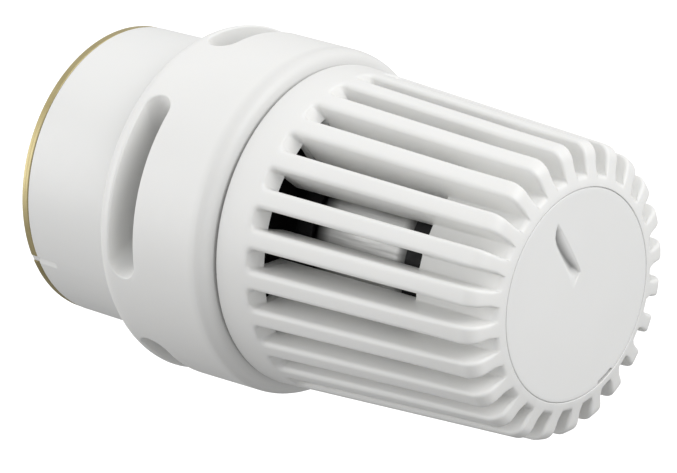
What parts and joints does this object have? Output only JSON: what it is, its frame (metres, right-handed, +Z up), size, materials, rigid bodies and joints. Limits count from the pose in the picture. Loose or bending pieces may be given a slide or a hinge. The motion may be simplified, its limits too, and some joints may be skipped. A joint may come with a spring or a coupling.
{
  "type": "thermostatic radiator valve",
  "caption": "Thermostatic radiator valve head: ribbed handwheel over a fixed slotted base, with a sleeved union nut, sliding sensor carrier and pressure pin inside.",
  "frame": {"origin": "centre of the mouth of the coupling's thread, on the head's axis", "axes": "+X along the head's axis from the coupling to the nose, +Z up with the axis level, -Y the side the pointer and the two stop pins lie nearest"},
  "size_m": [0.0837, 0.049, 0.049],
  "materials": {
    "white_plastic": "satin moulded",
    "black_plastic": "matt moulded",
    "natural_plastic": "unpigmented moulded",
    "plated_steel": "turned and zinc plated",
    "spring_steel": "bright",
    "sensor_metal": "brushed round the axis",
    "brass": "turned",
    "rubber": "moulded"
  },
  "bodies": {
    "fixed_base": {"base_shell": "white_plastic", "base_core": "plated_steel", "spacer_ring": "black_plastic", "core_clip": "spring_steel", "guide_cage": "black_plastic", "cage_screw_1": "spring_steel", "cage_screw_2": "spring_steel", "cage_screw_3": "spring_steel", "friction_ring": "rubber", "wheel_retaining_ring": "spring_steel", "stop_pin_low": "black_plastic", "stop_pin_high": "black_plastic"},
    "coupling": {"coupling_nut": "brass", "nut_cover": "white_plastic", "cover_clip": "spring_steel"},
    "wheel": {"handwheel": "white_plastic", "end_cap": "white_plastic", "drive_nut": "black_plastic", "drive_clip": "spring_steel"},
    "carrier": {"sensor_carrier": "black_plastic", "sensor_retainer": "black_plastic", "sensor_can": "sensor_metal", "sensor_plate": "plated_steel", "sensor_guide_bush": "brass", "sensor_bellows": "brass", "safety_spring": "spring_steel", "spring_cup": "natural_plastic"},
    "plunger": {"pressure_pin": "natural_plastic", "tappet_button": "plated_steel", "sensor_piston": "plated_steel"}
  },
  "joints": [
    {"name": "nut_spin", "type": "hinge", "parent": "fixed_base", "child": "coupling", "pos_m": [0.0135, 0, 0], "axis": [1, 0, 0], "continuous": true},
    {"name": "wheel_turn", "type": "hinge", "parent": "fixed_base", "child": "wheel", "pos_m": [0.039, 0, 0], "axis": [1, 0, 0], "range_deg": [-150, 150]},
    {"name": "carrier_feed", "type": "slide", "parent": "fixed_base", "child": "carrier", "axis": [1, 0, 0], "range_m": [-0.0026, 0.0026]},
    {"name": "sensor_stroke", "type": "slide", "parent": "carrier", "child": "plunger", "axis": [-1, 0, 0], "range_m": [-0.001, 0.001], "stiffness_N_per_m": 4000}
  ],
  "couplings": [
    {"joint": "carrier_feed", "follows": "wheel_turn", "m_per_rad": 0.00095493}
  ]
}
